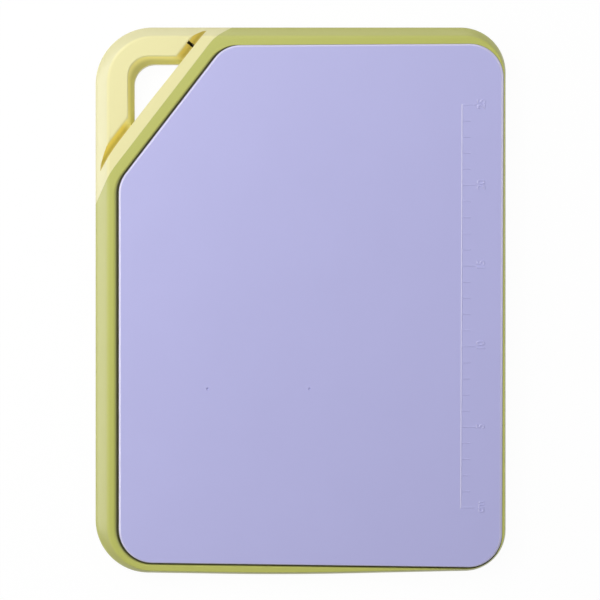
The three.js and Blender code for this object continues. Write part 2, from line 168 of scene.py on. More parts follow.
class BoardSizes(bpy.types.PropertyGroup):
    """Outline, rim and plates."""

    outline: lengths(
        "Outline", "Width and length of the whole board", (cad_high.x - cad_low.x, cad_high.y - cad_low.y)
    )
    thickness: length("Thickness", "From the back plate's face to the front plate's face", 0.012)
    corner_radii: lengths(
        "Corner radii",
        "Outline corners: bottom left, bottom right, top right and handle",
        (0.0329, 0.0255, 0.0280, 0.0355),
    )
    bow: lengths("Bow", "Lowest place across the bottom side, and radius of its bow", (-0.0156, 2.0))
    bow_lean: FloatVectorProperty(
        name="Bow lean",
        description="How steeply the bottom side rises to the left and to the right",
        default=(math.radians(0.9), math.radians(1.25)),
        size=2,
        unit="ROTATION",
    )
    plate_proud: length("Plate proud", "How far each plate stands above the rim", 0.0006)
    rim: lengths(
        "Rim", "Outline to plate edge: bottom, right, top and left", (0.0062, 0.0021, 0.0111, 0.0149)
    )
    shoulder: lengths(
        "Shoulder",
        "Width of the sloping part: bottom, right, top and left",
        (0.0018, 0.0012, 0.0068, 0.0089),
    )
    shoulder_drop: length("Shoulder drop", "Height of the sloping part", 0.0044)
    back_round: length("Back round", "Radius round the back edge", 0.0016)
    groove: lengths(
        "Groove",
        "Gap beside the plate: bottom, right, top, diagonal and left",
        (0.0007, 0.00003, 0.00003, 0.0008, 0.0011),
    )
    roll: lengths(
        "Roll",
        "Width of the rim's rolled inner edge: bottom, right, top, diagonal and left",
        (0.0012, 0.0001, 0.0001, 0.0016, 0.0026),
    )
    roll_depth: length("Roll depth", "How far the rolled edge falls", 0.0030)
    flange: length("Flange thickness", "Thickness of the part that the plates clamp", 0.0042)
    flange_reach: length("Flange reach", "How far the flange lies under the plates", 0.007)
    plate_corner: length("Plate corner", "Radius of the plate's three plain corners", 0.021)
    bevel: lengths(
        "Bevel",
        "Width of the plate's bevelled edge: bottom, right, top, diagonal and left",
        (0.0006, 0.0016, 0.0012, 0.0013, 0.0013),
    )
    bevel_height: length("Bevel height", "Height of the plate's bevelled edge", 0.0008)
    plate_skin: length("Plate skin", "Thickness of the plate between its ribs", 0.0028)
    bottom_fall: length("Bottom fall", "How far the plate's lower edge falls to the right", 0.0032)
    top_rise: length("Top rise", "How far the plate's upper edge rises to the right", 0.001)
    right_lean: length("Right lean", "How far the plate's right edge leans to the right", 0.0011)
    cut_corner: lengths("Cut corner", "Cut of the handle's corner, across and along", (0.0656, 0.0850))
    cut_radius: length("Cut radius", "Radius at both ends of the cut", 0.020)
    rib_width: length("Rib width", "Thickness of the ribs inside", 0.002)
    rib_pitch: length("Rib pitch", "Distance between the ribs", 0.042)
    clearance: length("Clearance", "Gap between the pieces inside the board", 0.0003)


class HandleSizes(bpy.types.PropertyGroup):
    """Corner handle with its hole, troughs and seam."""

    loop: lengths("Loop", "Width of the loop on the front face, left and top", (0.0199, 0.0178))
    hole_radius: length("Hole radius", "Radius of the hand hole's outer corner", 0.013)
    hole_slope: lengths("Hole slope", "Width of the hole's sloping wall, left and top", (0.0041, 0.0050))
    hole_depth: length("Hole depth", "Height of the hole's sloping wall", 0.0046)
    diagonal_rim: length("Diagonal rim", "Width of the rim between plate and handle", 0.0080)
    bar: length("Bar", "Width of the handle's diagonal bar", 0.00745)
    bar_margin: length("Bar margin", "From the bar's ends to the outline", 0.00365)
    bar_give: lengths(
        "Bar give", "How far the bar's edge gives way at its low and high end", (0.0015, 0.00085)
    )
    bar_run: lengths("Bar run", "Length of the edge that gives way, low and high", (0.020, 0.054))
    edge_round: length("Edge round", "Radius round the hole's back edge", 0.0008)
    hole_tip: length("Hole tip", "Radius of the hole's two narrow corners", 0.00015)
    trough: lengths("Trough", "Width of the trough at the low and the high end", (0.0053, 0.0052))
    trough_depth: length("Trough depth", "Depth of the troughs beside the bar", 0.0021)
    seam_gap: length("Seam gap", "Gap between handle and rim", 0.00004)
    seam_bend: FloatVectorProperty(
        name="Seam bend",
        description="How far the seam turns at its low and its high end",
        default=(math.radians(12.5), math.radians(22.5)),
        size=2,
        unit="ROTATION",
    )
    seam_radius: lengths("Seam radius", "Radius of the seam's bends, low and high", (0.060, 0.032))
    seam_beyond: lengths("Seam beyond", "From the bar's end to the bend, low and high", (0.0005, 0.0027))
    tongue: length("Tongue thickness", "Thickness of the tongue inside the rim", 0.002)
    tongue_margin: length("Tongue margin", "From the bar's end to the tongue's end", 0.016)
    peg_radius: length("Peg radius", "Radius of the rim's pegs through the tongue", 0.0015)
    peg_count: IntProperty(name="Pegs", description="Pegs of the rim through the tongue", default=4, min=1)


class SharpenerSizes(bpy.types.PropertyGroup):
    """Sharpening stone in the upper trough, and its cap."""

    from_end: length("From end", "From the bar's high end to the slit", 0.0103)
    slit: lengths("Slit", "Width and length of the slit", (0.0020, 0.0042))
    slit_offset: length("Slit offset", "From the bar's edge to the middle of the slit", 0.0020)
    thickness: length("Stone thickness", "Thickness of the stone", 0.001)
    width: length("Stone width", "Width of the stone across the trough", 0.0086)
    notch: lengths("Notch", "Width and depth of the notch that takes the blade", (0.0036, 0.0024))
    offset: length("Offset", "From the bar's edge to the middle of the stone", 0.0016)
    below_face: length("Below face", "From the handle's face to the stone", 0.0022)
    cap: lengths("Cap", "Width, length and thickness of the cap", (0.0056, 0.0116, 0.0014))
    cap_gap: length("Cap gap", "Gap round the cap", 0.0001)
    edge: length("Edge", "Bevel on the stone and the cap", 0.00012)


class RulerSizes(bpy.types.PropertyGroup):
    """Raised scale on the front plate."""

    span: length("Span", "Length of the scale", 0.250)
    step: length("Step", "Distance between two marks", 0.010)
    per_label: IntProperty(
        name="Steps per label", description="Marks from one label to the next", default=5, min=1
    )
    line: lengths("Line", "Width and height of a raised line", (0.0012, 0.00025))
    minor: length("Minor mark", "Length of a plain mark", 0.0055)
    major: length("Major mark", "Length of a labelled mark", 0.0084)
    place: lengths("Place", "From the plate's right and bottom edges", (0.0256, 0.0358))
    letters: length("Letters", "Height of the figures", 0.0048)
    letters_gap: length("Letters gap", "From a labelled mark to its figures", 0.0009)
    letters_shift: length("Letters shift", "From a mark to the middle of its figures", 0.0005)
    dimple: lengths("Dimple", "Radius and depth of the two moulding dimples", (0.0009, 0.0007))
    dimple_first: lengths("First dimple", "Place of the left moulding dimple", (-0.0577, -0.0547))
    dimple_second: lengths("Second dimple", "Place of the right moulding dimple", (0.0055, -0.0547))


class BoardColours(bpy.types.PropertyGroup):
    """Colours of the mouldings."""

    plate: colour("Plate", "Lilac of the cutting plates", (0.450, 0.446, 0.741))
    # The edge's lighter lilac is a painted highlight on the plates' bevels and on the left flanks of the
    # scale's lines
    edge: colour("Edge", "Lighter lilac of the plates' bevelled edge", (0.57, 0.55, 0.76))
    rim: colour("Rim", "Olive of the soft rim", (0.462, 0.478, 0.112))
    # Painted shade: the rim turns to this darker, duller olive below its flat
    rim_side: colour("Rim side", "Greyer olive on the rim's shoulder", (0.415, 0.420, 0.135))
    handle: colour("Handle", "Pale yellow of the handle", (0.755, 0.706, 0.352))
    # Painted shade: the handle turns to this darker, duller yellow below its flat
    handle_side: colour("Handle side", "Greyer yellow on the handle's shoulder", (0.625, 0.592, 0.335))
    # Painted bounce light and shade in the hand hole, the troughs and the slit: the saturated yellows stand
    # for light bounced between the yellow walls; the high trough's darker tone and the dark tones at the
    # foot and on the floors stand for shade
    hole: colour("Hole", "Deeper yellow high on the hand hole's walls", (0.92, 0.82, 0.25))
    hole_foot: colour("Hole foot", "Deeper yellow at the foot of the hand hole's walls", (0.64, 0.59, 0.18))
    trough_low: colour("Low trough", "Golden yellow of the low trough", (0.90, 0.70, 0.095))
    trough_high: colour("High trough", "Golden yellow of the high trough", (0.77, 0.59, 0.09))
    trough_floor: colour("Trough floor", "Golden yellow on the floor of the troughs", (0.30, 0.245, 0.04))
    # Painted shade deep in the groove round the plates
    groove: colour("Groove", "Dark olive deep in the groove round the plates", (0.17, 0.165, 0.045))
    # The stone's own dark colour, made darker and browner to stand for the shade deep in the slit
    stone: colour("Stone", "Dark brown grey of the sharpening stone", (0.030, 0.020, 0.003))


class Plastic(NamedTuple):
    """A moulded surface close up."""

    roughness: float
    grain: float
    spread: float


# Roughness, fineness of the grain, and how far the tone spreads
LILAC = Plastic(0.34, 2600, 0.02)
GLOSSY_LILAC = Plastic(0.2, 2600, 0.02)
OLIVE = Plastic(0.30, 2000, 0.03)
YELLOW = Plastic(0.30, 2300, 0.02)
CERAMIC = Plastic(0.6, 5000, 0.3)

# Clouds and speckles in the tone: scale and detail of each, and the share of the clouds
CLOUDS = (28, 3)
SPECKLES = (900, 2)
CLOUD_SHARE = 0.7

# Grain: its detail and roughness, strength and height of its relief, and how far grain and clouds change
# the gloss
GRAIN = (3, 0.6)
GRAIN_STRENGTH = 0.12
GRAIN_HEIGHT = 0.0001
GRAIN_GLOSS = 0.1
CLOUD_GLOSS = 0.08

# Floor and room: the floor's share of plain white, and the strength of the light from all round
FLOOR_SIZE = 6
FLOOR_DROP = 0.0003
FLOOR_TONE = (0.9, 0.9, 0.9, 1)
FLOOR_WHITE = 0.96
ROOM_LIGHT = 0.28
WHITE = (1, 1, 1, 1)

# The camera looks straight down from far above. Sensor and lens are in millimetres.
SENSOR_WIDTH = 36
LENS = 116.06
CAMERA_PLACE = (-0.000374, 0.000513, 1.212)

# Softboxes: name, place, width and height, and power in watts
LAMPS = (
    ("over_left", (-0.70, 0.18, 0.98), (1.1, 1.1), 4.1),
    ("over_top", (-0.25, 0.70, 1.20), (0.9, 0.9), 3.85),
    ("left_side", (-1.0, 0.0, 0.80), (0.9, 0.3), 2.2),
    ("left_low", (-1.1, 0.0, 0.50), (0.9, 0.25), 3.5),
    ("top_low", (0.0, 1.1, 0.45), (0.9, 0.25), 1.4),
    ("corner_side", (-0.80, 0.62, 0.76), (0.6, 0.15), 2.6),
    ("right_side", (1.05, 0.30, 0.78), (0.9, 0.15), 2.9),
)


class Corner(NamedTuple):
    """A corner of an outline, with the radius that rounds it."""

    at: Vector
    radius: float


def corner(x, y, radius):
    return Corner(Vector((x, y)), radius)


def rounded(corners, steps=CORNER_STEPS):
    """Ring of points along an outline whose corners are rounded."""
    ring = []
    for i, (at, radius) in enumerate(corners):
        back = (corners[i - 1].at - at).normalized()
        onward = (corners[(i + 1) % len(corners)].at - at).normalized()
        half = math.acos(max(-1, min(1, back.dot(onward)))) / 2
        centre = at + (back + onward).normalized() * (radius / math.sin(half))
        first = at + back * (radius / math.tan(half)) - centre
        turn = (2 * half - math.pi) * math.copysign(1, back.cross(onward))
        ring += [centre + Matrix.Rotation(turn * k / steps, 2) @ first for k in range(steps + 1)]
    return ring


def moved(corners, distances):
    """The outline with each side moved outwards. Side i runs from corner i to the next."""
    count = len(corners)
    starts = []
    runs = []
    for i, (at, _) in enumerate(corners):
        run = (corners[(i + 1) % count].at - at).normalized()
        starts.append(at + Vector((run.y, -run.x)) * distances[i])
        runs.append(run)
    outline = []
    for i, (_, radius) in enumerate(corners):
        reach = (starts[i] - starts[i - 1]).cross(runs[i]) / runs[i - 1].cross(runs[i])
        mean = (distances[i - 1] + distances[i]) / 2
        outline.append(Corner(starts[i - 1] + runs[i - 1] * reach, max(radius + mean, OVERLAP)))
    return outline


def moved_all(corners, distance):
    return moved(corners, [distance] * len(corners))


def softened(section, rounds=SOFTENING_ROUNDS):
    """An open line of points with its bends cut off again and again."""
    for _ in range(rounds):
        line = [section[0]]
        for (x0, y0), (x1, y1) in zip(section, section[1:]):
            line.append((0.75 * x0 + 0.25 * x1, 0.75 * y0 + 0.25 * y1))
            line.append((0.25 * x0 + 0.75 * x1, 0.25 * y0 + 0.75 * y1))
        section = line + [section[-1]]
    return section


def quarter(steps):
    """Shares of a quarter circle: how far round it, then how far in and how far up."""
    turns = [math.pi / 2 * k / steps for k in range(steps + 1)]
    return [(1 - math.cos(turn), math.sin(turn)) for turn in turns]


def circle(centre, radius):
    """Ring of points round a centre."""
    turns = [Matrix.Rotation(math.tau * k / CIRCLE_STEPS, 2) for k in range(CIRCLE_STEPS)]
    return [centre + turn @ Vector((radius, 0)) for turn in turns]


def rectangle(width, height):
    """Corners of a rectangle round zero."""
    x = width / 2
    y = height / 2
    return (-x, -y), (x, -y), (x, y), (-x, y)


def new_mesh():
    """An empty mesh with room for the finishes of a piece."""
    mesh = bpy.data.meshes.new("shape")
    for _ in range(FINISHES):
        mesh.materials.append(None)
    return mesh


def skinned(rings):
    """A closed mesh through rings of equally many points, from the lowest up."""
    count = len(rings[0])
    mesh = new_mesh()
    faces = [tuple(reversed(range(count)))]
    for level in range(len(rings) - 1):
        low = level * count
        for i in range(count):
            j = (i + 1) % count
            faces.append((low + i, low + j, low + j + count, low + i + count))
    faces.append(tuple(range(count * (len(rings) - 1), count * len(rings))))
    mesh.from_pydata([point for ring in rings for point in ring], [], faces)
    return cleaned(mesh)


def cleaned(mesh):
    """The mesh with doubled points and faces without area taken out."""
    shape = bmesh.new()
    shape.from_mesh(mesh)
    bmesh.ops.remove_doubles(shape, verts=shape.verts, dist=WELD)
    bmesh.ops.dissolve_degenerate(shape, edges=shape.edges, dist=WELD)
    shape.to_mesh(mesh)
    shape.free()
    return mesh


def loft(levels):
    """A closed mesh through outlines, each at its own height."""
    return skinned([[(p.x, p.y, z) for p in ring] for z, ring in levels])


def prism(ring, low, high):
    return loft([(low, ring), (high, ring)])


def bar(x, y, width, height, low, high):
    return prism([Vector((x + a, y + b)) for a, b in rectangle(width, height)], low, high)


def joined(meshes):
    """Meshes put into one, with nothing cut."""
    shape = bmesh.new()
    for mesh in meshes:
        shape.from_mesh(mesh)
        bpy.data.meshes.remove(mesh)
    whole = new_mesh()
    shape.to_mesh(whole)
    shape.free()
    return whole


def combined(first, operation, second):
    """Two closed meshes made one solid."""
    base = bpy.data.objects.new("base", first)
    tool = bpy.data.objects.new("tool", second)
    for item in (base, tool):
        bpy.context.scene.collection.objects.link(item)
    modifier = base.modifiers.new("combine", "BOOLEAN")
    modifier.operation = operation
    modifier.solver = "EXACT"
    modifier.object = tool
    whole = bpy.data.meshes.new_from_object(base.evaluated_get(bpy.context.evaluated_depsgraph_get()))
    for item in (base, tool):
        bpy.data.objects.remove(item)
    for mesh in (first, second):
        bpy.data.meshes.remove(mesh)
    if not whole.polygons:
        raise RuntimeError(f"{operation} left nothing of the shape")
    return cleaned(whole)


def cut(mesh, *tools):
    for tool in tools:
        mesh = combined(mesh, "DIFFERENCE", tool)
    return mesh


def second_finish(mesh, chosen=lambda face: True):
    """The mesh, with the chosen faces marked for the second finish of its piece."""
    for face in mesh.polygons:
        if chosen(face):
            face.material_index = 1
    return mesh


def flat_shaded(piece):
    """Lets the normals of large faces win over those of the small faces beside them."""
    modifier = piece.modifiers.new("normals", "WEIGHTED_NORMAL")
    modifier.keep_sharp = True
    shaded = bpy.data.meshes.new_from_object(piece.evaluated_get(bpy.context.evaluated_depsgraph_get()))
    piece.modifiers.remove(modifier)
    mesh = piece.data
    piece.data = shaded
    bpy.data.meshes.remove(mesh)
    shaded.name = piece.name


def placed(name, mesh, node, slot, finish, second=None):
    """A finished piece that stands for a CAD node."""
    mesh.materials[0] = finish
    mesh.materials[1] = second or finish
    mesh.shade_smooth()
    mesh.set_sharp_from_angle(angle=SHARP_ANGLE)
    piece = bpy.data.objects.new(name, mesh)
    bpy.context.scene.collection.objects.link(piece)
    flat_shaded(piece)
    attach(piece, BODY)
    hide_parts(node)
    return piece


class Plan:
    """Heights and outlines that follow from the sizes."""

    def __init__(self, scene):
        self.sizes = sizes = scene.board_sizes
        self.handle = handle = scene.handle_sizes
        self.stone = scene.sharpener_sizes
        self.ruler = scene.ruler_sizes
        self.colours = scene.board_colours
        self.face = sizes.thickness
        self.middle = self.face / 2
        self.rim_low = sizes.plate_proud
        self.rim_high = self.face - sizes.plate_proud
        self.flange_high = self.middle + sizes.flange / 2
        x, y = (side / 2 for side in sizes.outline)
        radii = sizes.corner_radii
        self.left = -x
        self.top = y
        bow = self.bow_corner(cad_low.y)
        lean_left, lean_right = sizes.bow_lean
        self.board = [
            corner(-x, bow.at.y + (bow.at.x + x) * math.tan(lean_left), radii[0]),
            bow,
            corner(x, bow.at.y + (x - bow.at.x) * math.tan(lean_right), radii[1]),
            corner(x, y, radii[2]),
            corner(-x, y, radii[3]),
        ]
        bottom, right, top, left = sizes.rim
        self.plate_left = -x + left
        self.plate_right = x - right
        self.plate_bottom = -y + bottom
        self.plate_top = y - top
        fall = sizes.bottom_fall / 2
        rise = sizes.top_rise / 2
        lean = sizes.right_lean / 2
        across, along = sizes.cut_corner
        cut_high = corner(self.plate_left + across, self.plate_top - rise, sizes.cut_radius)
        cut_low = corner(self.plate_left, self.plate_top - rise - along, sizes.cut_radius)
        self.plate = [
            corner(self.plate_left, self.plate_bottom + fall, sizes.plate_corner),
            corner(self.plate_right - lean, self.plate_bottom - fall, sizes.plate_corner),
            corner(self.plate_right + lean, self.plate_top + rise, sizes.plate_corner),
            cut_high,
            cut_low,
        ]
        self.start = cut_low.at
        self.along = (cut_high.at - cut_low.at).normalized()
        self.out = Vector((-self.along.y, self.along.x))
        self.bar_edge = handle.diagonal_rim + handle.bar
        self.end_low = self.bar_at_x(self.left + handle.bar_margin, self.bar_edge)
        self.end_high = self.bar_at_y(self.top - handle.bar_margin, self.bar_edge)

    def bow_corner(self, lowest):
        """Where the two straight runs of the bottom side would meet, below the round of its bow."""
        x, radius = self.sizes.bow
        left, right = self.sizes.bow_lean
        skew = (right - left) / 2
        reach = radius / math.cos((right + left) / 2)
        return corner(x + reach * math.sin(skew), lowest + radius - reach * math.cos(skew), radius)

    def shouldered(self, share):
        """The outline drawn in by a share of its shoulder."""
        bottom, right, top, left = (-side * share for side in self.sizes.shoulder)
        return rounded(moved(self.board, (bottom, bottom, right, top, left)))

    def on_diagonal(self, u, w):
        """A place on the cut corner: u up along the plate's diagonal edge, w out from it."""
        return self.start + self.along * u + self.out * w

    def bar_at_x(self, x, w):
        return (x - self.on_diagonal(0, w).x) / self.along.x

    def bar_at_y(self, y, w):
        return (y - self.on_diagonal(0, w).y) / self.along.y

    def diagonal_corner(self, u, w, radius):
        return Corner(self.on_diagonal(u, w), radius)

    def blank(self):
        """The whole board's outside: a round on the back, a shoulder on the front."""
        sizes = self.sizes
        levels = []
        for inwards, up in reversed(quarter(ROUND_STEPS)):
            z = self.rim_low + sizes.back_round * (1 - up)
            levels.append((z, rounded(moved_all(self.board, -sizes.back_round * inwards))))
        for across, up in softened(SHOULDER_SECTION)[1:]:
            z = self.rim_high - sizes.shoulder_drop * (1 - up)
            levels.append((z, self.shouldered(across)))
        return loft(levels)

    def handle_region(self, outwards):
        """The corner of the blank that belongs to the handle, up to the seam."""
        handle = self.handle
        far = self.sizes.cut_corner[1]
        low = self.on_diagonal(self.end_low - handle.seam_beyond[0], handle.diagonal_rim)
        high = self.on_diagonal(self.end_high + handle.seam_beyond[1], handle.diagonal_rim)
        low_end = low - Matrix.Rotation(handle.seam_bend[0], 2) @ self.along * far
        high_end = high + Matrix.Rotation(-handle.seam_bend[1], 2) @ self.along * far
        region = [
            Corner(low_end, OVERLAP),
            Corner(low, handle.seam_radius[0]),
            Corner(high, handle.seam_radius[1]),
            Corner(high_end, OVERLAP),
            corner(low_end.x, high_end.y, OVERLAP),
        ]
        return prism(rounded(moved_all(region, outwards)), -BEYOND, self.face + BEYOND)

    def bar_line(self, u):
        """The bar's outer edge at u. It gives way towards the bar's two ends."""
        low, high = self.handle.bar_give
        low_run, high_run = self.handle.bar_run
        low_share = max(0, 1 - (u - self.end_low) / low_run)
        high_share = max(0, 1 - (self.end_high - u) / high_run)
        return self.bar_edge - low * low_share ** 2 - high * high_share

    def hole_corners(self, share):
        """The hand hole. share runs from 0 on the face to 1 at the foot of its sloping wall."""
        handle = self.handle
        x = self.left + handle.loop[0] + handle.hole_slope[0] * share
        y = self.top - handle.loop[1] - handle.hole_slope[1] * share
        low = self.bar_at_x(x, self.bar_edge)
        turn = self.end_high - handle.bar_run[1]
        high = self.bar_at_y(y, self.bar_line(self.bar_at_y(y, self.bar_edge)))
        tip, radius = handle.hole_tip, handle.hole_radius
        bends = ((low, tip), (turn, radius), (high, tip))
        corners = [self.diagonal_corner(u, self.bar_line(u), bend) for u, bend in bends]
        return [*corners, corner(x, y, radius)]

    def hand_hole(self):
        """The hole's sloping wall, from the front."""
        levels = []
        for share, down in reversed(softened(WALL_SECTION, WALL_ROUNDS)):
            ring = rounded(self.hole_corners(share), HOLE_CORNER_STEPS)
            levels.append((self.rim_high - self.handle.hole_depth * down, ring))
        levels.append((self.face + BEYOND, rounded(self.hole_corners(0), HOLE_CORNER_STEPS)))
        return loft(levels)

    def trough(self, width, first, last):
        """A trough along the bar from one u to another, as a cutter. It is deepest beside the bar."""
        deepest = self.handle.trough_depth
        above = self.rim_high + BEYOND
        section = []
        for share, up in TROUGH_SECTION:
            section.append((NUDGE + width * share, self.rim_high - deepest * (1 - up)))
        section += [(section[-1][0], above), (NUDGE, above)]
        rings = []
        for k in range(TROUGH_STEPS + 1):
            u = first + (last - first) * k / TROUGH_STEPS
            places = [(self.on_diagonal(u, self.bar_line(u) + across), z) for across, z in section]
            rings.append([(at.x, at.y, z) for at, z in places])
        return skinned(rings)

    def troughs(self):
        """Both troughs, from the hand hole out through the shoulder."""
        low_width, high_width = self.handle.trough
        outer = self.hole_corners(0)[-1]
        low_end = self.bar_at_x(self.left - BEYOND, self.bar_edge)
        low_start = self.bar_at_x(outer.at.x, self.bar_edge + low_width) + BEYOND / 2
        high_start = self.bar_at_y(outer.at.y, self.bar_edge + high_width) - BEYOND / 2
        high_end = self.bar_at_y(self.top + BEYOND, self.bar_edge)
        return [
            self.trough(low_width, low_end, low_start),
            self.trough(high_width, high_start, high_end),
        ]

    def hole_through(self):
        """The hole below its sloping wall, with a rounded edge on the back."""
        handle = self.handle
        outline = self.hole_corners(1)
        radius = handle.edge_round
        levels = [(-BEYOND, rounded(moved_all(outline, radius), HOLE_CORNER_STEPS))]
        for inwards, up in reversed(quarter(ROUND_STEPS)):
            ring = rounded(moved_all(outline, radius * inwards), HOLE_CORNER_STEPS)
            levels.append((self.rim_low + radius * (1 - up), ring))
        levels.append((self.rim_high - handle.hole_depth + OVERLAP, rounded(outline, HOLE_CORNER_STEPS)))
        return loft(levels)

    def at_sharpener(self, x, y):
        """A place by the slit: x along the trough, y across it."""
        return self.on_diagonal(self.end_high - self.stone.from_end + x, self.bar_edge + y)

    def sharpener_block(self, x_size, y_size, low, high, y):
        """A straight-sided cutter by the slit."""
        ring = [self.at_sharpener(a, y + b) for a, b in rectangle(x_size, y_size)]
        return prism(ring, low, high)

    def tongue(self, grown):
        """The tongue that carries the handle in the rim. grown widens it and tightens its holes."""
        handle = self.handle
        reach = self.sizes.flange_reach
        low = self.middle - handle.tongue / 2 - grown
        high = self.middle + handle.tongue / 2 + grown
        first = self.end_low + handle.tongue_margin - grown
        last = self.end_high - handle.tongue_margin + grown
        ring = [
            self.on_diagonal(first, -reach),
            self.on_diagonal(last, -reach),
            self.on_diagonal(last, handle.diagonal_rim + OVERLAP),
            self.on_diagonal(first, handle.diagonal_rim + OVERLAP),
        ]
        radius = handle.peg_radius + self.sizes.clearance - grown
        holes = []
        for i in range(handle.peg_count):
            share = (i + 0.5) / handle.peg_count
            centre = self.on_diagonal(first + (last - first) * share, -reach / 2)
            holes.append(prism(circle(centre, radius), -BEYOND, self.face + BEYOND))
        return cut(prism(ring, low, high), joined(holes))

    def pocket(self, front):
        """Room for one plate: straight up from the flange, then flaring into the rim's rolled edge."""
        sizes = self.sizes

        def ring(share):
            sides = [groove + roll * share for groove, roll in zip(sizes.groove, sizes.roll)]
            return rounded(moved(self.plate, sides))

        levels = [(self.flange_high, ring(0))]
        for inwards, up in quarter(ROLL_STEPS):
            levels.append((self.rim_high - sizes.roll_depth * (1 - up), ring(inwards)))
        levels.append((self.face + BEYOND, ring(1)))
        if not front:
            levels = [(self.face - z, outline) for z, outline in reversed(levels)]
        return loft(levels)

    def plain_plate(self):
        """One cutting plate, face up: a skin with a seat round its edge and ribs to the middle."""
        sizes = self.sizes
        seat = self.flange_high + sizes.clearance
        under = self.face - sizes.plate_skin
        rib_end = self.middle + sizes.clearance / 2

        def ring(share):
            return rounded(moved(self.plate, [-width * share for width in sizes.bevel]))

        levels = [(seat, ring(0))]
        for across, up in softened(BEVEL_SECTION):
            levels.append((self.face - sizes.bevel_height * (1 - up), ring(across)))
        levels.append((self.face, ring(BEVEL_HOLD)))
        outside = moved_all(self.plate, -sizes.flange_reach - sizes.clearance)
        inside = moved_all(outside, -sizes.rib_width)
        slab = cut(loft(levels), prism(rounded(inside), -BEYOND, under))
        collar = cut(
            prism(rounded(outside), rib_end, seat + OVERLAP), prism(rounded(inside), -BEYOND, self.face)
        )
        plate = combined(slab, "UNION", collar)
        for bars in self.rib_bars(-BEYOND, self.face):
            within = prism(rounded(moved_all(inside, OVERLAP)), rib_end, under + OVERLAP)
            plate = combined(plate, "UNION", combined(within, "INTERSECT", bars))
        # The bevel's faces get the second finish, whose lighter lilac is a painted highlight
        return second_finish(plate, lambda face: BEVEL_TILT[0] < face.normal.z < BEVEL_TILT[1])

    def rib_bars(self, low, high):
        """Bars along the whole plate, and bars across it."""
        sizes = self.sizes
        x = (self.plate_left + self.plate_right) / 2
        y = (self.plate_bottom + self.plate_top) / 2
        width = self.plate_right - self.plate_left
        height = self.plate_top - self.plate_bottom
        along = [
            bar(x + shift, y, sizes.rib_width, height, low, high) for shift in self.rib_shifts(width)
        ]
        across = [
            bar(x, y + shift, width, sizes.rib_width, low, high) for shift in self.rib_shifts(height)
        ]
        return joined(along), joined(across)

    def rib_shifts(self, span):
        pitch = self.sizes.rib_pitch
        most = math.floor(span / 2 / pitch)
        return [i * pitch for i in range(-most, most + 1)]

    def scale_place(self):
        """Where the scale's first mark goes, so that the scale runs along the plate's right edge."""
        x = self.plate_right - self.ruler.place[0]
        y = self.plate_bottom + self.ruler.place[1]
        half = self.ruler.span / 2
        lean = math.atan2(self.sizes.right_lean, self.plate_top - self.plate_bottom)
        turn = Matrix.Rotation(-lean, 4, "Z")
        return Matrix.Translation((x, y + half, self.face)) @ turn @ Matrix.Translation((0, -half, 0))

    def scale_outline(self):
        """Outline of the whole scale, from its first mark: one long line with the marks on its right."""
        sizes = self.ruler
        half = sizes.line[0] / 2
        steps = round(sizes.span / sizes.step)
        points = [(-half, -half)]
        for i in range(steps + 1):
            end = sizes.minor if i % sizes.per_label else sizes.major
            at = i * sizes.step
            points += [(half, at - half), (end, at - half), (end, at + half), (half, at + half)]
        points.append((-half, sizes.span + half))
        # The first and the last mark lie in line with the ends of the long line
        del points[-2], points[1]
        return [corner(*point, 0) for point in points]


def ridges(outline, line):
    """Raised lines that stand on zero, sloping from their foot to their crest."""
    levels = [(-OVERLAP, [point.at for point in outline])]
    for share, up in RIDGE_SECTION:
        narrower = moved_all(outline, -line[0] / 2 * share)
        levels.append((line[1] * up, [point.at for point in narrower]))
    return loft(levels)


def raised_words(words, height, rise):
    """Figures in the text's own plane, standing on its zero, as a closed mesh."""
    text = bpy.data.curves.new("words", "FONT")
    text.body = words
    text.align_x = "CENTER"
    text.size = height / CAPITAL_SHARE
    text.resolution_u = LETTER_STEPS
    text.extrude = (rise + OVERLAP) / 2 - LETTER_BEVEL
    text.bevel_depth = LETTER_BEVEL
    text.bevel_resolution = 1
    item = bpy.data.objects.new("words", text)
    bpy.context.scene.collection.objects.link(item)
    mesh = bpy.data.meshes.new_from_object(item.evaluated_get(bpy.context.evaluated_depsgraph_get()))
    bpy.data.objects.remove(item)
    bpy.data.curves.remove(text)
    lift = Matrix.Translation((0, 0, (rise - OVERLAP) / 2))
    mesh.transform(lift @ Matrix.Diagonal((LETTER_RUN, 1, 1, 1)))
    return cleaned(mesh)


def dimple(place, radius, depth, face):
    """A shallow round mark of the mould, as a cutter."""
    levels = []
    for inwards, up in quarter(ROUND_STEPS):
        ring = circle(Vector(place), radius * max(up, DIMPLE_TIP))
        levels.append((face - depth * (1 - inwards), ring))
    levels.append((face + BEYOND, ring))
    return loft(levels)


class Value:
    """A number or colour that changes over a surface, as a node's output in a Python expression."""

    def __init__(self, finish, socket):
        self.finish = finish
        self.socket = socket

    def _math(self, operation, first, second):
        return self.finish.node("ShaderNodeMath", {"operation": operation}, {0: first, 1: second})

    def __add__(self, other):
        return self._math("ADD", self, other)

    __radd__ = __add__

    def __sub__(self, other):
        return self._math("SUBTRACT", self, other)

    def __rsub__(self, other):
        return self._math("SUBTRACT", other, self)

    def __mul__(self, other):
        return self._math("MULTIPLY", self, other)

    __rmul__ = __mul__


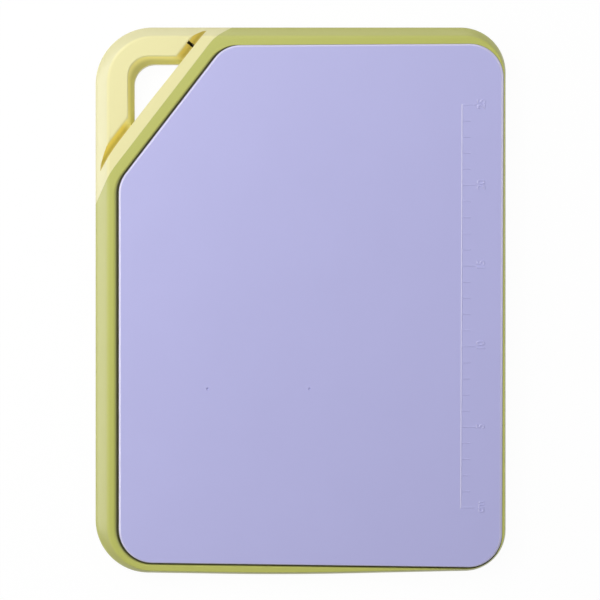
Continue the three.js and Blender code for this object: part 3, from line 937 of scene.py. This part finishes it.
class Finish:
    """The nodes of one material, lamp or world."""

    def __init__(self, owner):
        owner.use_nodes = True
        self.tree = owner.node_tree
        self.tree.nodes.clear()

    def node(self, kind, settings=None, links=None, output=0):
        """Adds a node: its settings first, then the values or links of its sockets."""
        made = self.tree.nodes.new(kind)
        for key, value in (settings or {}).items():
            setattr(made, key, value)
        for key, value in (links or {}).items():
            if isinstance(key, int):
                socket = made.inputs[key]
            else:
                socket = next(s for s in made.inputs if key in (s.identifier, s.name))
            if isinstance(value, Value):
                self.tree.links.new(value.socket, socket)
            else:
                socket.default_value = value
        return Value(self, made.outputs[output]) if made.outputs else None

    def noise(self, place, scale, detail, roughness=0.5):
        return self.node(
            "ShaderNodeTexNoise",
            {},
            {"Vector": place, "Scale": scale, "Detail": detail, "Roughness": roughness},
        )

    def blend(self, share, first, second):
        """A colour between two colours."""
        return self.node(
            "ShaderNodeMix",
            {"data_type": "RGBA"},
            {"Factor_Float": share, "A_Color": first, "B_Color": second},
            "Result",
        )

    def ramp(self, value, first, last):
        """Rises smoothly from 0 to 1 between two values."""
        return self.node(
            "ShaderNodeMapRange",
            {"interpolation_type": "SMOOTHSTEP"},
            {"Value": value, "From Min": first, "From Max": last},
        )


def shade(tone, factor=1):
    """A colour, also made lighter or darker, with its alpha."""
    return (*(min(channel * factor, 1) for channel in tone), 1)


def depth(finish, place, face, depths):
    """How deep a place lies below the face: 0 at the first depth and 1 at the second one."""
    height = finish.node("ShaderNodeSeparateXYZ", {}, {"Vector": place}, "Z")
    return finish.ramp(height, face - depths[0], face - depths[1])


def moulded(name, tone, plastic, deeper=None):
    """Moulded plastic: cloudy tone, fine grain and a gloss that changes a little from place to place.

    The last argument, if given, takes the finish, the place on the surface and the colour there, and
    returns the colour with light and shade painted in by depth.
    """
    material = bpy.data.materials.new(name)
    finish = Finish(material)
    place = finish.node("ShaderNodeTexCoord", output="Object")
    cloud = finish.noise(place, *CLOUDS)
    speckle = finish.noise(place, *SPECKLES)
    fine = finish.noise(place, plastic.grain, *GRAIN)
    tint = cloud * CLOUD_SHARE + speckle * (1 - CLOUD_SHARE)
    base = finish.blend(tint, shade(tone, 1 - plastic.spread), shade(tone, 1 + plastic.spread))
    if deeper:
        base = deeper(finish, place, base)
    bump = finish.node(
        "ShaderNodeBump",
        {},
        {"Strength": GRAIN_STRENGTH, "Distance": GRAIN_HEIGHT, "Height": fine},
        "Normal",
    )
    surface = finish.node(
        "ShaderNodeBsdfPrincipled",
        {},
        {
            "Base Color": base,
            "Roughness": plastic.roughness + GRAIN_GLOSS * (fine - 0.5) + CLOUD_GLOSS * (cloud - 0.5),
            "Normal": bump,
        },
    )
    finish.node("ShaderNodeOutputMaterial", {}, {"Surface": surface})
    return material


def kept(name, make):
    """A material that is made once and shared."""
    return bpy.data.materials.get(name) or make(name)


def sides(plan, tone):
    """For moulded: paints shade on the shoulder below the flat, as another, darker tone."""

    def deeper(finish, place, base):
        return finish.blend(depth(finish, place, plan.rim_high, SHOULDER_SHADE_DEPTHS), base, shade(tone))

    return deeper


def yellow_finish(plan):
    """The handle's own finish, with shade painted on its shoulder."""
    colours = plan.colours
    shoulder_shade = sides(plan, colours.handle_side)
    return kept("pale_yellow_plastic", lambda name: moulded(name, colours.handle, YELLOW, shoulder_shade))


def plate_finishes(plan):
    """The plate's own finish, and the glossier finish of its bevelled edge, whose lighter lilac is a
    painted highlight.
    """
    colours = plan.colours
    return (
        kept("lilac_plastic", lambda name: moulded(name, colours.plate, LILAC)),
        kept("glossy_lilac_with_painted_highlight", lambda name: moulded(name, colours.edge, GLOSSY_LILAC)),
    )


class BuildRuledPlate(bpy.types.Operator):
    """Build the front cutting plate with its raised scale"""

    bl_idname = "cutting_board.ruled_plate"
    bl_label = "Ruled plate"

    def execute(self, context):
        plan = Plan(context.scene)
        sizes = plan.ruler
        relief = [ridges(plan.scale_outline(), sizes.line)]
        for i in range(0, round(sizes.span / sizes.step) + 1, sizes.per_label):
            relief.append(self.label(sizes, str(i) if i else UNIT_MARK, i * sizes.step))
        # The left flanks get the second finish, whose lighter lilac is a painted highlight
        scale = second_finish(joined(relief), lambda face: face.normal.x < LIT_FLANK)
        scale.transform(plan.scale_place())
        mesh = combined(plan.plain_plate(), "UNION", scale)
        radius, depth = sizes.dimple
        marks = (sizes.dimple_first, sizes.dimple_second)
        mesh = cut(mesh, joined([dimple(place, radius, depth, plan.face) for place in marks]))
        placed("ruled_plate", mesh, "front_plate", "plate", *plate_finishes(plan))
        return {"FINISHED"}

    def label(self, sizes, words, y):
        """Figures that read upwards beside the long mark at y."""
        mesh = raised_words(words, sizes.letters, sizes.line[1])
        foot = sizes.major + sizes.letters_gap + sizes.letters
        place = Matrix.Translation((foot, y + sizes.letters_shift, 0))
        mesh.transform(place @ Matrix.Rotation(math.pi / 2, 4, "Z"))
        return mesh


class BuildPlainPlate(bpy.types.Operator):
    """Build the back cutting plate"""

    bl_idname = "cutting_board.plain_plate"
    bl_label = "Plain plate"

    def execute(self, context):
        plan = Plan(context.scene)
        mesh = plan.plain_plate()
        mesh.transform(Matrix.Translation((0, 0, plan.face)) @ Matrix.Diagonal((1, 1, -1, 1)))
        mesh.flip_normals()
        placed("plain_plate", mesh, "back_plate", "plate", *plate_finishes(plan))
        return {"FINISHED"}


class BuildRim(bpy.types.Operator):
    """Build the soft rim round the plates"""

    bl_idname = "cutting_board.rim"
    bl_label = "Rim"

    def execute(self, context):
        plan = Plan(context.scene)
        sizes = plan.sizes
        inside = rounded(moved_all(plan.plate, -sizes.flange_reach))
        mesh = cut(
            plan.blank(),
            plan.handle_region(plan.handle.seam_gap / 2),
            # The pockets' faces get the second finish, with shade painted deep in the groove
            second_finish(plan.pocket(True)),
            second_finish(plan.pocket(False)),
            prism(inside, -BEYOND, plan.face + BEYOND),
            plan.tongue(sizes.clearance),
        )
        tone = plan.colours.rim
        shoulder_shade = sides(plan, plan.colours.rim_side)

        # Paints shade in the groove, darker with depth
        def darker(finish, place, base):
            share = depth(finish, place, plan.rim_high, GROOVE_SHADE_DEPTHS)
            return finish.blend(share, base, shade(plan.colours.groove))

        finish = kept("olive_soft_plastic", lambda name: moulded(name, tone, OLIVE, shoulder_shade))
        deep = kept("olive_with_painted_groove_shade", lambda name: moulded(name, tone, OLIVE, darker))
        placed("olive_rim", mesh, "soft_rim", "rim", finish, deep)
        return {"FINISHED"}


class BuildHandle(bpy.types.Operator):
    """Build the corner handle with its hand hole and troughs"""

    bl_idname = "cutting_board.handle"
    bl_label = "Corner handle"

    def execute(self, context):
        plan = Plan(context.scene)
        stone = plan.stone
        gap = plan.sizes.clearance
        slit_width, slit_length = stone.slit
        stone_high = plan.rim_high - stone.below_face + gap
        pocket = plan.sharpener_block(
            slit_width, stone.width + 2 * gap, -BEYOND, stone_high, stone.offset
        )
        slit = plan.sharpener_block(
            slit_width, slit_length, plan.middle, plan.face + BEYOND, stone.slit_offset
        )
        seat_width, seat_length = (side + 2 * stone.cap_gap for side in stone.cap[:2])
        seat_high = plan.rim_low + stone.cap[2] + stone.cap_gap
        seat = plan.sharpener_block(seat_width, seat_length, -BEYOND, seat_high, stone.offset)
        loop = combined(plan.blank(), "INTERSECT", plan.handle_region(-plan.handle.seam_gap / 2))
        loop = cut(
            loop,
            # The hole, troughs and slit get the second finish, with bounce light and shade painted in by
            # depth
            second_finish(plan.hand_hole()),
            second_finish(plan.hole_through()),
            *(second_finish(trough) for trough in plan.troughs()),
            pocket,
            second_finish(slit),
            seat,
        )
        mesh = combined(loop, "UNION", plan.tongue(0))
        tone = plan.colours.handle
        deep = kept("yellow_with_painted_bounce_and_shade", lambda name: moulded(name, tone, YELLOW, self.golden(plan)))
        placed("corner_grip", mesh, "corner_handle", "handle", yellow_finish(plan), deep)
        return {"FINISHED"}

    def golden(self, plan):
        """For moulded: painted bounce light in the hole and the troughs, a more saturated yellow below the
        face, and painted shade that darkens it further down.
        """
        colours = plan.colours
        along = (*plan.along, 0)
        middle = plan.start.dot(plan.along) + (plan.end_low + plan.end_high) / 2 + HOLE_SHIFT

        def deeper(finish, place, base):
            run = finish.node(
                "ShaderNodeVectorMath", {"operation": "DOT_PRODUCT"}, {0: place, 1: along}, "Value"
            )
            away = finish.node("ShaderNodeMath", {"operation": "ABSOLUTE"}, {0: run - middle})
            beyond_hole = finish.ramp(away, *HOLE_REACH)
            upper = finish.ramp(run, middle, middle + HOLE_REACH[0])
            golden = finish.blend(upper, shade(colours.trough_low), shade(colours.trough_high))
            yellow = finish.blend(beyond_hole, shade(colours.hole), golden)
            dark = finish.blend(beyond_hole, shade(colours.hole_foot), shade(colours.trough_floor))
            yellow = finish.blend(depth(finish, place, plan.rim_high, HOLLOW_SHADE_DEPTHS), yellow, dark)
            return finish.blend(depth(finish, place, plan.rim_high, BOUNCE_LIGHT_DEPTHS), base, yellow)

        return deeper


class BuildSharpener(bpy.types.Operator):
    """Build the sharpening stone and the cap that holds it"""

    bl_idname = "cutting_board.sharpener"
    bl_label = "Sharpener"

    def execute(self, context):
        plan = Plan(context.scene)
        self.build_stone(plan)
        self.build_cap(plan)
        return {"FINISHED"}

    def build_stone(self, plan):
        stone = plan.stone
        low = plan.rim_low + stone.cap[2] + plan.sizes.clearance
        high = plan.rim_high - stone.below_face
        half = stone.width / 2
        notch = stone.notch[0] / 2
        section = [
            (-half, low),
            (half, low),
            (half, high),
            (notch, high),
            (0, high - stone.notch[1]),
            (-notch, high),
            (-half, high),
        ]
        rings = []
        for x in (stone.thickness / 2, -stone.thickness / 2):
            ring = []
            for across, z in section:
                at = plan.at_sharpener(x, stone.offset + across)
                ring.append((at.x, at.y, z))
            rings.append(ring)
        mesh = skinned(rings)
        shape = bmesh.new()
        shape.from_mesh(mesh)
        bmesh.ops.bevel(
            shape, geom=shape.edges[:], offset=stone.edge, segments=2, affect="EDGES", profile=0.5
        )
        bmesh.ops.recalc_face_normals(shape, faces=shape.faces)
        shape.to_mesh(mesh)
        shape.free()
        # The stone's dark brown stands partly for the shade deep in the slit
        finish = kept("dark_ceramic", lambda name: moulded(name, plan.colours.stone, CERAMIC))
        placed("whetstone", mesh, "sharpener_stone", "stone", finish)

    def build_cap(self, plan):
        stone = plan.stone
        width, span, thickness = stone.cap
        outline = [
            Corner(plan.at_sharpener(a, stone.offset + b), 4 * stone.edge)
            for a, b in rectangle(width, span)
        ]
        levels = []
        for inwards, up in reversed(quarter(ROUND_STEPS)):
            ring = rounded(moved_all(outline, -2 * stone.edge * inwards), ROUND_STEPS)
            levels.append((plan.rim_low + 2 * stone.edge * (1 - up), ring))
        levels.append((plan.rim_low + thickness, rounded(outline, ROUND_STEPS)))
        placed("stone_cap", loft(levels), "sharpener_cap", "handle", yellow_finish(plan))


def look_at(item, target):
    item.rotation_euler = (Vector(target) - item.location).to_track_quat("-Z", "Y").to_euler()


class BuildStage(bpy.types.Operator):
    """Build the floor, lamps, world and camera"""

    bl_idname = "cutting_board.stage"
    bl_label = "Stage"

    def execute(self, context):
        scene = context.scene
        scene.view_settings.view_transform = "Standard"
        self.build_floor(scene)
        self.build_world(scene)
        for name, place, size, power in LAMPS:
            self.add_lamp(scene, name, place, size, power)
        self.build_camera(scene)
        return {"FINISHED"}

    def build_floor(self, scene):
        mesh = bpy.data.meshes.new("floor")
        corners = [(x, y, 0) for x, y in rectangle(FLOOR_SIZE, FLOOR_SIZE)]
        mesh.from_pydata(corners, [], [range(len(corners))])
        floor = bpy.data.objects.new("floor", mesh)
        floor.location.z = -FLOOR_DROP
        scene.collection.objects.link(floor)
        material = bpy.data.materials.new("white_floor")
        mesh.materials.append(material)
        finish = Finish(material)
        path = "ShaderNodeLightPath"
        camera = finish.node(path, output="Is Camera Ray")
        glossy = finish.node(path, output="Is Glossy Ray")
        through = finish.node(path, output="Is Transmission Ray")
        share = FLOOR_WHITE * (camera + glossy + through)
        lit = finish.node("ShaderNodeBsdfDiffuse", {}, {"Color": FLOOR_TONE})
        white = finish.node("ShaderNodeEmission", {}, {"Color": WHITE, "Strength": 1})
        seen = finish.node("ShaderNodeMixShader", {}, {0: share, 1: lit, 2: white})
        clear = finish.node("ShaderNodeBsdfTransparent")
        behind = finish.node("ShaderNodeNewGeometry", output="Backfacing")
        surface = finish.node("ShaderNodeMixShader", {}, {0: behind, 1: seen, 2: clear})
        finish.node("ShaderNodeOutputMaterial", {}, {"Surface": surface})

    def build_world(self, scene):
        world = bpy.data.worlds.new("studio")
        scene.world = world
        finish = Finish(world)
        path = "ShaderNodeLightPath"
        seen = (
            finish.node(path, output="Is Camera Ray")
            + finish.node(path, output="Is Transmission Ray")
        )
        room = finish.node("ShaderNodeBackground", {}, {"Color": WHITE, "Strength": ROOM_LIGHT})
        white = finish.node("ShaderNodeBackground", {}, {"Color": WHITE, "Strength": 1})
        surface = finish.node("ShaderNodeMixShader", {}, {0: seen, 1: room, 2: white})
        finish.node("ShaderNodeOutputWorld", {}, {"Surface": surface})

    def add_lamp(self, scene, name, place, size, power):
        light = bpy.data.lights.new(name, "AREA")
        light.shape = "RECTANGLE"
        light.size, light.size_y = size
        light.energy = power
        lamp = bpy.data.objects.new(name, light)
        lamp.location = place
        look_at(lamp, (0, 0, 0))
        lamp.visible_camera = False
        scene.collection.objects.link(lamp)

    def build_camera(self, scene):
        lens = bpy.data.cameras.new("camera")
        lens.sensor_fit = "HORIZONTAL"
        lens.sensor_width = SENSOR_WIDTH
        lens.lens = LENS
        camera = bpy.data.objects.new("camera", lens)
        camera.location = CAMERA_PLACE
        scene.collection.objects.link(camera)
        scene.camera = camera


class CuttingBoardPanel(bpy.types.Panel):
    """Sizes, colours and build steps of the board"""

    bl_idname = "VIEW3D_PT_cutting_board"
    bl_label = "Cutting board"
    bl_space_type = "VIEW_3D"
    bl_region_type = "UI"
    bl_category = "Cutting board"

    def draw(self, context):
        for group in ("board_colours", "board_sizes", "handle_sizes", "sharpener_sizes", "ruler_sizes"):
            values = getattr(context.scene, group)
            section = self.layout.box()
            for key in values.bl_rna.properties.keys():
                if key not in ("rna_type", "name"):
                    section.prop(values, key)
        for operator in BUILD_STEPS:
            self.layout.operator(operator.bl_idname)


PROPERTY_GROUPS = {
    "board_sizes": BoardSizes,
    "handle_sizes": HandleSizes,
    "sharpener_sizes": SharpenerSizes,
    "ruler_sizes": RulerSizes,
    "board_colours": BoardColours,
}
BUILD_STEPS = (BuildStage, BuildRuledPlate, BuildPlainPlate, BuildRim, BuildHandle, BuildSharpener)


def register():
    for name, group in PROPERTY_GROUPS.items():
        bpy.utils.register_class(group)
        setattr(bpy.types.Scene, name, PointerProperty(type=group))
    for item in (*BUILD_STEPS, CuttingBoardPanel):
        bpy.utils.register_class(item)


def unregister():
    for item in (CuttingBoardPanel, *reversed(BUILD_STEPS)):
        bpy.utils.unregister_class(item)
    for name, group in PROPERTY_GROUPS.items():
        delattr(bpy.types.Scene, name)
        bpy.utils.unregister_class(group)


def main():
    register()
    bpy.ops.cutting_board.stage()
    bpy.ops.cutting_board.ruled_plate()
    bpy.ops.cutting_board.plain_plate()
    bpy.ops.cutting_board.rim()
    bpy.ops.cutting_board.handle()
    bpy.ops.cutting_board.sharpener()


if __name__ == "__main__":
    main()
